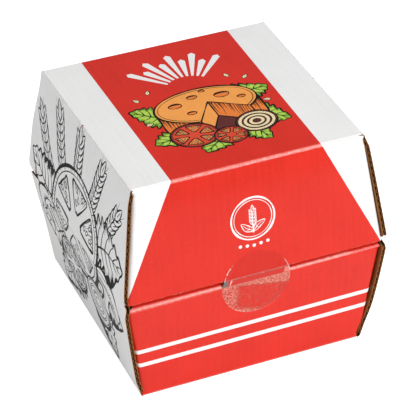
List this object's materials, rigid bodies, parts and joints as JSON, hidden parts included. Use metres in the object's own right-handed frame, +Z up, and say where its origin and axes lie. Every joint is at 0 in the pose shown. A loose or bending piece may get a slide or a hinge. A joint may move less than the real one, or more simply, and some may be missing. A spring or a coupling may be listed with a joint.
{
  "type": "burger-shaped gift carton",
  "caption": "Shut corrugated carton, a sloped lid on a sloped tray, printed red and white, closed at the front by a round clear seal.",
  "frame": {"origin": "centre of the base, on the surface the carton stands on", "axes": "+Z up, -Y towards the sealed front, +X to the right of someone facing the front"},
  "size_m": [0.1152, 0.114, 0.0998],
  "materials": {
    "printed_board": "coated corrugated paperboard, printed red on white, satin, with kraft brown cut edges",
    "clear_film": "clear self-adhesive film, glossy, patchy where the adhesive hasn't wetted the print"
  },
  "bodies": {
    "root": {"lid": "printed_board", "tray": "printed_board", "seal": "clear_film"}
  },
  "joints": []
}
